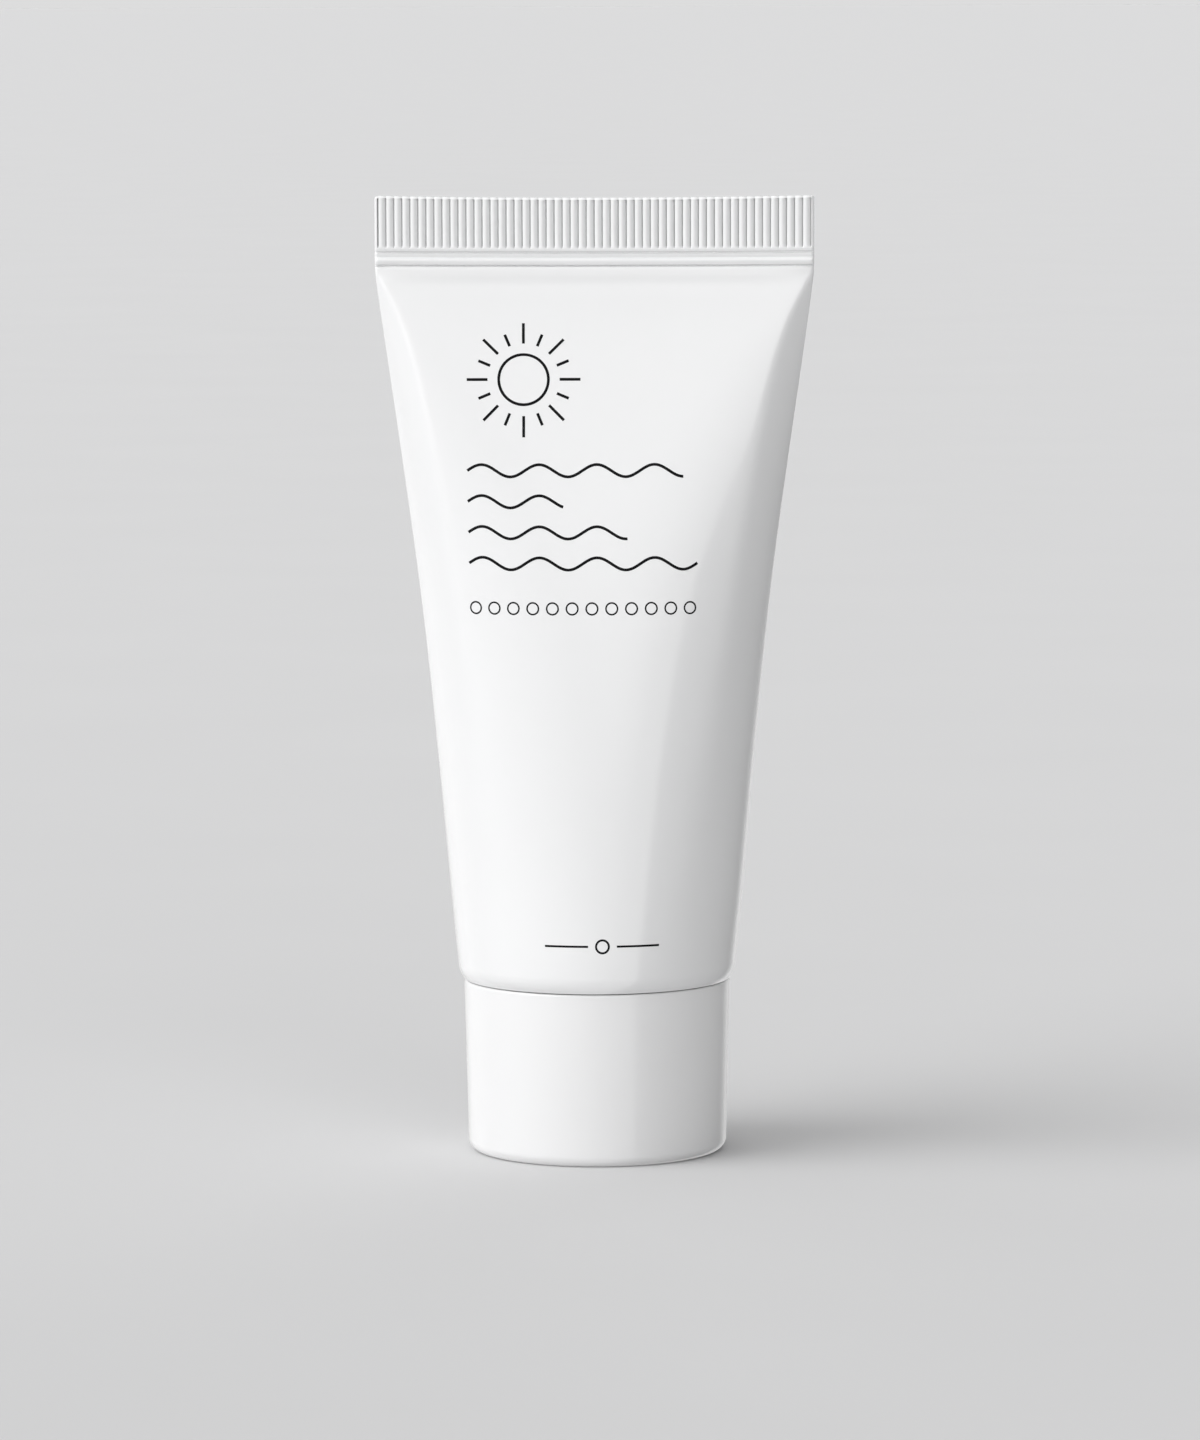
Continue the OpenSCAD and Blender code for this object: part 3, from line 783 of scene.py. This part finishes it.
class SLEEVE_OT_build(bpy.types.Operator):
    """Builds the sleeve: round at the shoulder, flattened and crimped shut at the other end"""

    bl_idname = "squeeze_tube.sleeve"
    bl_label = "Build sleeve"

    def execute(self, context):
        settings = context.scene.squeeze_tube
        sleeve = Sleeve(settings.sleeve)
        cuts, rows = quarter_cuts(sleeve), sleeve_rows(sleeve)
        columns = len(cuts) - 1

        def place(i, j):
            k, right, front = round_the_ring(i, columns)
            return rows[j](cuts[k] / sleeve.quarter, right, front)

        bm = bmesh.new()
        rolled_sheet(bm, 4 * columns, len(rows) - 1, place)
        piece(bm, "sleeve", sleeve_material(settings.finish, sleeve), "tube", ["tube_sleeve"])
        return {"FINISHED"}


def rib_back(place):
    """How deep the front lies at a place from 0 to 1 across a rib, as a share of the grooves' depth. The
    jaws that press the ribs interlock, so where the front lies deep the rear stands out."""
    if place < RIB_CREST:
        return (1 - place / RIB_CREST) ** 2
    way = (place - RIB_CREST) / (1 - RIB_CREST)
    return sum(part * way ** power for power, part in RIB_BACK)


def sleeve_rows(sleeve):
    """The rows of the sleeve's skin, from the end of its pocket down the inside, round the lower
    edge and up the outside to the crimp's upper edge. Each is a function of (share of the quarter,
    side, face) that gives a point."""
    sizes = sleeve.sizes

    def outer(level):
        return lambda v, right, front: sleeve.on_row(level, v, right, front)

    def band(level, z, part, wall=0):
        """The outline at a share of the height, inset by a wall, thinned to a part and moved to z."""
        section = sleeve.section(level)
        inset = min(wall, HOLLOW * section.fold)

        def point(v, right, front):
            sideways, out = section.point(v, inset)
            return sleeve.settled(sideways * right, -out * part * front, z)
        return point

    def inner(level, part=1):
        return band(level, sleeve.height(level), part, sizes.wall)

    def heel(radius, turn_in):
        r = sizes.radius - sizes.heel_radius + radius * cos(turn_in)
        z = sleeve.heel_top - radius * sin(turn_in)
        return lambda v, right, front: round_point(r, z, v, right, front)

    def crimp(height, face, pattern):
        section = sleeve.section(1)
        z = sleeve.crimp_foot + height * MM

        def point(v, right, front):
            sideways, out = section.point(v)
            depth = 0
            if sideways < sleeve.rib_half:
                depth = rib_back(right * sideways / sleeve.rib_pitch % 1)
                depth = sizes.rib_depth * (depth if front > 0 else 1 - depth)
            thickness = (face * MM - pattern * depth) / section.depth
            made = sleeve.settled(sideways * right, -out * front * thickness, z)
            corner = sizes.corner_radius
            over = max(sideways - (sleeve.seal_width - corner), 0)
            rounding = corner - sqrt(max(corner ** 2 - over ** 2, 0))
            made.z -= rounding * smooth_step((z - sizes.top + 2 * corner) / (2 * corner))
            return made
        return point

    inside_radius = sizes.heel_radius - sizes.wall
    inside_end = asin(sizes.heel_height / inside_radius)
    outside_end = asin(sizes.heel_height / sizes.heel_radius)
    inside = [1 - (1 - k / INSIDE_ROWS) ** INSIDE_CROWDING for k in range(INSIDE_ROWS)] + [INSIDE_TOP]
    rows = [inner(INSIDE_TOP, 0)] + [inner(s) for s in reversed(inside)]
    rows += [heel(inside_radius, inside_end * k / 3) for k in (1, 2, 3)]
    rows += [heel(sizes.heel_radius, outside_end * k / HEEL_ROWS) for k in range(HEEL_ROWS, 0, -1)]
    rows += [outer(s) for s in sleeve.shares[:-2]]
    rows += [band(sleeve.shares[-3], sleeve.crimp_foot + height * MM, part) for height, part in CRIMP_EDGE]
    return rows + [crimp(*step) for step in CRIMP_PROFILE] + [crimp(CRIMP_PROFILE[-1][0], 0, 0)]


class CAP_OT_build(bpy.types.Operator):
    """Builds the cap's glossy outer shell"""

    bl_idname = "squeeze_tube.cap"
    bl_label = "Build cap shell"

    def execute(self, context):
        settings = context.scene.squeeze_tube
        cap = settings.cap
        snap_z = INSERT_HIGH.z + settings.insert.fit

        def inside(z, corner, out=0):
            return cap_inner_r(cap, z) - out, z, corner

        profile = rounded([
            (0, cap.gate_depth), (cap.gate_radius * 0.8, cap.gate_depth, SOFT), (cap.gate_radius, 0, SOFT),
            (cap_r(cap, 0), 0, cap.edge), (cap.rim_radius, cap.height, cap.rim_edge),
            inside(cap.height, 2 * SOFT), inside(snap_z + 2 * cap.snap, SOFT),
            inside(snap_z + cap.snap, 1.5 * SOFT, cap.snap), inside(snap_z, SOFT),
            inside(cap.deck, 6 * SOFT), (0, cap.deck)], 0, CAP_CORNER_STEPS)
        piece(spun(profile), "cap_cover", cap_material(settings.finish), "cap", ["cap_shell"])
        return {"FINISHED"}


def cap_r(cap, z):
    """Outside radius of the cap at a height."""
    return cap.rim_radius - (cap.height - z) * tan(cap.draft)


def cap_inner_r(cap, z):
    """Inside radius of the cap at a height."""
    return cap_r(cap, z) - cap.wall


def ridge_height(settings):
    """Height of the middle of the neck's thread at its start."""
    return HEAD_LOW.z + settings.thread.start


def root_height(settings):
    """Height at which the outside of the shoulder meets the neck."""
    head = settings.head
    return settings.sleeve.foot - (head.cone_radius - head.neck_radius) * tan(head.slope)


class INSERT_OT_build(bpy.types.Operator):
    """Builds the threaded insert in the cap, with its flange and stiffening ribs"""

    bl_idname = "squeeze_tube.insert"
    bl_label = "Build cap insert"

    def execute(self, context):
        settings = context.scene.squeeze_tube
        insert, cap, thread = settings.insert, settings.cap, settings.thread
        top, bore, keeper = INSERT_HIGH.z, insert.bore, insert.keeper
        skirt_r = bore + insert.wall
        deck_foot, flange_foot = insert.deck_top - insert.deck, top - insert.deck
        keeper_z = LINER_HIGH.z + insert.fit
        bm = spun(rounded([
            (0, deck_foot), (bore, deck_foot), (bore, INSERT_LOW.z), (skirt_r, INSERT_LOW.z),
            (skirt_r, flange_foot, 4 * SOFT), (cap_inner_r(cap, flange_foot) - insert.fit, flange_foot),
            (cap_inner_r(cap, top) - insert.fit, top), (bore + insert.edge, top, 2 * SOFT),
            (bore, top - insert.edge, 2 * SOFT), (bore, keeper_z + 2 * keeper, SOFT),
            (bore - keeper, keeper_z + keeper, 1.2 * SOFT), (bore, keeper_z, SOFT),
            (bore, insert.deck_top, SOFT), (0, insert.deck_top)], insert.corner, FINE_CORNER_STEPS))

        foot = flange_foot - insert.gusset_height
        start, end = skirt_r - GUSSET_SINK, cap_inner_r(cap, foot) - insert.gusset_gap
        size = Vector((end - start, insert.gusset_thickness, insert.gusset_height + GUSSET_SINK))
        middle = Vector(((start + end) / 2, 0, foot + size.z / 2))
        for k in range(insert.gussets):
            turn = Matrix.Rotation(tau * k / insert.gussets, 4, "Z")
            bmesh.ops.create_cube(bm, size=1, matrix=turn @ Matrix.LocRotScale(middle, None, size))

        ridge_z = ridge_height(settings) + thread.crest + thread.flank_gap
        ridge_z += flank_slope(thread) * (thread.height - thread.gap)
        turns = (top - thread.insert_plain - ridge_z) / thread.lead
        thread_ridge(bm, thread, bore, settings.head.neck_radius + thread.gap, ridge_z, turns)
        piece(bm, "threaded_insert", moulded_material(settings.finish), "cap", ["cap_insert"])
        return {"FINISHED"}


class LINER_OT_build(bpy.types.Operator):
    """Builds the foamed liner disc, with the ring that the mouth has pressed in"""

    bl_idname = "squeeze_tube.liner"
    bl_label = "Build liner"

    def execute(self, context):
        settings = context.scene.squeeze_tube
        filling, head = settings.filling, settings.head
        r, edge, low, high = filling.liner_radius, filling.liner_edge, LINER_LOW.z, LINER_HIGH.z
        inside, outside, dent = head.orifice, head.neck_radius - head.mouth_edge, high - filling.liner_dent
        profile = rounded([
            (0, low), (r, low, edge), (r, high, edge), (outside + SOFT, high, SOFT), (outside, dent, SOFT),
            (inside, dent, SOFT), (inside - SOFT, high, SOFT), (0, high)], 0, FINE_CORNER_STEPS)
        bm = spun(profile, LINER_STEPS)
        piece(bm, "liner_disc", foam_material(settings.finish), "liner", ["cap_liner"])
        return {"FINISHED"}


class HEAD_OT_build(bpy.types.Operator):
    """Builds the shoulder and the threaded neck, one moulding welded into the sleeve"""

    bl_idname = "squeeze_tube.head"
    bl_label = "Build head"

    def execute(self, context):
        settings = context.scene.squeeze_tube
        head, sleeve, thread = settings.head, settings.sleeve, settings.thread
        mouth, root_z, ridge_z = HEAD_LOW.z, root_height(settings), ridge_height(settings)
        heel_z = sleeve.foot + sleeve.heel_height
        heel = sleeve.heel_radius - (sleeve.radius - head.skirt_radius)
        centre = sleeve.radius - sleeve.heel_radius
        angles = [asin(sleeve.heel_height / heel) * k / CORNER_STEPS for k in range(CORNER_STEPS, -1, -1)]
        curve = [(centre + heel * cos(a), heel_z - heel * sin(a), 0) for a in angles]
        inner_z = root_z + head.thickness
        skirt_top = heel_z + head.skirt_height
        bm = spun(rounded([
            (head.orifice, mouth + head.mouth), (head.orifice, mouth, 2 * SOFT),
            (head.neck_radius - head.mouth_edge, mouth, 1.5 * SOFT),
            (head.neck_radius, mouth + head.mouth_edge, 1.5 * SOFT),
            (head.neck_radius, root_z, head.root_radius), (head.cone_radius, sleeve.foot), *curve,
            (head.skirt_radius - head.skirt_taper, skirt_top), (head.skirt_inside, skirt_top),
            (head.skirt_inside, inner_z + (head.skirt_inside - head.bore) * tan(head.slope)),
            (head.bore, inner_z), (head.bore, mouth + head.mouth)], head.corner, 4))
        turns = (root_z - thread.neck_plain - ridge_z) / thread.lead
        thread_ridge(bm, thread, head.neck_radius, head.neck_radius + thread.height, ridge_z, turns)
        piece(bm, "shoulder_and_neck", moulded_material(settings.finish), "tube", ["tube_head"])
        return {"FINISHED"}


class CREAM_OT_build(bpy.types.Operator):
    """Builds the sunscreen that fills the sleeve and the neck"""

    bl_idname = "squeeze_tube.cream"
    bl_label = "Build cream"

    def execute(self, context):
        settings = context.scene.squeeze_tube
        head, gap, sizes = settings.head, settings.filling.cream_gap, settings.sleeve
        sleeve = Sleeve(sizes)
        neck_r, head_r, low = head.bore - gap, head.skirt_inside - gap, CREAM_LOW.z
        lift = root_height(settings) + head.thickness + gap / cos(head.slope)
        skirt_top = sleeve.heel_top + head.skirt_height
        rings = [(0, low), (neck_r - gap, low), (neck_r, low + gap), (neck_r, lift),
                 (head_r, lift + (head_r - neck_r) * tan(head.slope)), (head_r, skirt_top + gap)]
        start, end = sleeve.share_at(skirt_top + 2 * gap), sleeve.share_at(CREAM_HIGH.z)

        def place(i, j):
            k, right, front = round_the_ring(i, CREAM_COLUMNS)
            v = sin(pi / 2 * k / CREAM_COLUMNS)
            if j < len(rings):
                return round_point(*rings[j], v, right, front)
            row = j - len(rings)
            level = start + (end - start) * min(row / CREAM_ROWS, 1)
            section = sleeve.section(level)
            sideways, out = section.point(v, min(sizes.wall + gap, HOLLOW * section.fold))
            return Vector((sideways * right, -out * front * (row <= CREAM_ROWS), sleeve.height(level)))

        bm = bmesh.new()
        rolled_sheet(bm, 4 * CREAM_COLUMNS, len(rings) + CREAM_ROWS + 1, place)
        piece(bm, "cream_filling", cream_material(settings.finish), "tube",
              ["sunscreen_cream"])
        return {"FINISHED"}


def flat_ring(bm, x, z, radius, stroke, steps=RING_STEPS):
    """Adds a flat ring of ink."""
    place = Matrix.Translation((x, z, 0))
    loops = []
    for r in (radius - stroke / 2, radius + stroke / 2):
        made = bmesh.ops.create_circle(bm, segments=steps, radius=r, matrix=place)["verts"]
        loops += list({edge for vert in made for edge in vert.link_edges})
    bmesh.ops.bridge_loops(bm, edges=loops)


def flat_line(bm, start, end, stroke, steps=1):
    """Adds a straight flat line of ink."""
    along = end - start
    turn = Matrix.Rotation(atan2(along.y, along.x), 3, "Z").to_quaternion()
    place = Matrix.LocRotScale(((start + end) / 2).to_3d(), turn, Vector((along.length, stroke, 1)))
    bmesh.ops.create_grid(bm, x_segments=steps, y_segments=1, size=0.5, matrix=place)


def flat_wave(bm, z, width, front):
    """Adds a wavy flat line of ink."""
    made = bmesh.ops.create_grid(bm, x_segments=round(width / WAVE_STEP), y_segments=1, size=0.5)["verts"]
    rate, swell = tau / front.swell_length, front.swell / 2
    for vert in made:
        along = (vert.co.x + 0.5) * width
        tilt = atan(swell * rate * cos(rate * along))
        centre = Vector((front.left + along, z + swell * sin(rate * along), 0))
        vert.co = centre + Vector((-sin(tilt), cos(tilt), 0)) * vert.co.y * front.stroke


def printed(bm, name, settings):
    """Gives the flat ink its thickness and wraps it onto the front of the sleeve."""
    front = settings.front
    sleeve = Sleeve(settings.sleeve)
    top = bmesh.ops.extrude_face_region(bm, geom=bm.faces[:])["geom"]
    for vert in (v for v in top if isinstance(v, bmesh.types.BMVert)):
        vert.co.z = 1
    for vert in bm.verts:
        lift = front.film if vert.co.z > 0.5 else -front.sink
        u = abs(vert.co.x) / sleeve.quarter
        vert.co = sleeve.skin(u, vert.co.y, 1 if vert.co.x > 0 else -1, 1, lift)
    return piece(bm, name, ink_material(settings.finish), "tube")


class PRINT_OT_build(bpy.types.Operator):
    """Prints a plain line ornament on the front: a sun over waves, a row of rings and a small mark"""

    bl_idname = "squeeze_tube.print"
    bl_label = "Build print"

    def execute(self, context):
        settings = context.scene.squeeze_tube
        front = settings.front
        bm = bmesh.new()
        centre = Vector((front.left + front.ray_end, front.sun_height))
        flat_ring(bm, *centre, front.sun_radius, front.stroke, LINER_STEPS)
        for k in range(front.rays):
            turn = tau * k / front.rays
            ray = Vector((cos(turn), sin(turn)))
            end = front.short_ray_end if k % 2 else front.ray_end
            flat_line(bm, centre + ray * front.ray_start, centre + ray * end, front.stroke, 6)
        for width, height in WAVES:
            flat_wave(bm, height, width, front)
        printed(bm, "front_sun_and_waves", settings)

        bm = bmesh.new()
        radius = front.dot_radius
        pitch = (front.dots_width - 2 * radius) / (front.dots - 1)
        for k in range(front.dots):
            flat_ring(bm, front.left + radius + pitch * k, front.dots_height, radius, front.fine_stroke)
        printed(bm, "front_row_of_rings", settings)

        bm = bmesh.new()
        middle, stroke = Vector((front.mark_middle, front.mark_height)), front.fine_stroke * MARK_STROKE
        flat_ring(bm, *middle, MARK_RING, stroke)
        for side in (Vector((-1, 0)), Vector((1, 0))):
            flat_line(bm, middle + side * MARK_GAP, middle + side * front.mark_half, stroke, 16)
        printed(bm, "front_small_mark", settings)
        return {"FINISHED"}


class STAGE_OT_build(bpy.types.Operator):
    """Sets up the floor, the studio light and the camera"""

    bl_idname = "squeeze_tube.stage"
    bl_label = "Build stage"

    def execute(self, context):
        settings = context.scene.squeeze_tube
        stage = settings.stage
        bm = bmesh.new()
        bmesh.ops.create_circle(bm, cap_ends=True, segments=ROUND_STEPS, radius=stage.floor_radius)
        mesh = bpy.data.meshes.new("floor")
        bm.to_mesh(mesh)
        bm.free()
        mesh.materials.append(floor_material(settings))
        floor = bpy.data.objects.new("floor", mesh)
        context.scene.collection.objects.link(floor)
        floor.visible_glossy = False

        studio_light(context.scene, stage)

        camera = bpy.data.cameras.new("camera")
        camera.lens = stage.camera_lens
        camera.sensor_width = SENSOR_WIDTH
        camera.clip_start, camera.clip_end = CLIP
        holder = bpy.data.objects.new("camera", camera)
        holder.matrix_world = (
            Matrix.Translation((stage.camera_x, -stage.camera_distance, stage.camera_height))
            @ Matrix.Rotation(pi / 2 - stage.camera_pitch, 4, "X")
            @ Matrix.Rotation(stage.camera_roll, 4, "Z"))
        context.scene.collection.objects.link(holder)
        context.scene.camera = holder
        context.scene.view_settings.view_transform = "Standard"
        return {"FINISHED"}


def studio_light(scene, stage):
    """Lights the scene from all round, darker from the right and above, with two soft lights."""
    scene.world = bpy.data.worlds.new("studio")
    scene.world.use_nodes = True
    nodes = Nodes(scene.world.node_tree)
    direction = nodes.add("ShaderNodeTexCoord", {}, "Generated")
    x, y, z = nodes.add("ShaderNodeSeparateXYZ", {"Vector": direction}).node.outputs

    def higher(heights):
        """Grows smoothly from 0 to 1 between two heights."""
        low, high = map(radians, heights)
        return nodes.spread(nodes.maths("ARCSINE", z), 0, 1, low, high, "SMOOTHSTEP")

    def soft_light(angles, strength):
        """A round patch of light that dies out towards its edge."""
        azimuth, height, reach = map(radians, angles)
        flat = cos(height)
        middle = (sin(azimuth) * flat, -cos(azimuth) * flat, sin(height))
        near = nodes.add("ShaderNodeVectorMath", {0: direction, 1: middle}, "Value", operation="DOT_PRODUCT")
        return nodes.spread(near, 0, strength, cos(reach), 1, "SMOOTHSTEP")

    azimuth = nodes.maths("ARCTAN2", x, nodes.maths("MULTIPLY", y, -1))
    turn = nodes.maths("ADD", nodes.maths("DIVIDE", azimuth, tau), 0.5)
    level = nodes.levels(turn, [(degrees / 360 + 0.5, level) for degrees, level in LIGHT_ROUND], BRIGHTEST)
    level = nodes.between(level, stage.above, higher(BAND_FADE))
    level = nodes.between(level, stage.zenith, higher(ZENITH_FADE))
    level = nodes.maths("ADD", level, soft_light(KEY_LIGHT, stage.key_light))
    total = nodes.maths("ADD", level, soft_light(FILL_LIGHT, stage.fill_light))
    nodes.feed(nodes.tree.nodes["Background"], {
        "Color": (1, 1, 1, 1), "Strength": nodes.maths("MULTIPLY", total, stage.light)})


class VIEW3D_PT_squeeze_tube(bpy.types.Panel):
    """Lists the steps that build the tube"""

    bl_idname = "VIEW3D_PT_squeeze_tube"
    bl_label = "Squeeze tube"
    bl_space_type = "VIEW_3D"
    bl_region_type = "UI"
    bl_category = "Squeeze tube"

    def draw(self, context):
        for step in BUILDERS:
            self.layout.operator(step.bl_idname)
        for name in Settings.__annotations__:
            group = getattr(context.scene.squeeze_tube, name)
            box = self.layout.box()
            box.label(text=name.capitalize())
            for key in type(group).__annotations__:
                box.prop(group, key)


BUILDERS = (SLEEVE_OT_build, CAP_OT_build, INSERT_OT_build, LINER_OT_build, HEAD_OT_build, CREAM_OT_build,
            PRINT_OT_build, STAGE_OT_build)
GROUPS = (SleeveSizes, CapSizes, InsertSizes, HeadSizes, ThreadSizes, FillingSizes, PrintSizes, Finishes,
          StageSettings, Settings)
CLASSES = (*GROUPS, *BUILDERS, VIEW3D_PT_squeeze_tube)


def register():
    """Registers the classes and hangs the settings on the scene."""
    for cls in CLASSES:
        bpy.utils.register_class(cls)
    bpy.types.Scene.squeeze_tube = PointerProperty(type=Settings)


def unregister():
    """Takes them away again."""
    del bpy.types.Scene.squeeze_tube
    for cls in reversed(CLASSES):
        bpy.utils.unregister_class(cls)


def main():
    """Builds everything."""
    register()
    bpy.ops.squeeze_tube.sleeve()
    bpy.ops.squeeze_tube.cap()
    bpy.ops.squeeze_tube.insert()
    bpy.ops.squeeze_tube.liner()
    bpy.ops.squeeze_tube.head()
    bpy.ops.squeeze_tube.cream()
    bpy.ops.squeeze_tube.print()
    bpy.ops.squeeze_tube.stage()


if __name__ == "__main__":
    main()
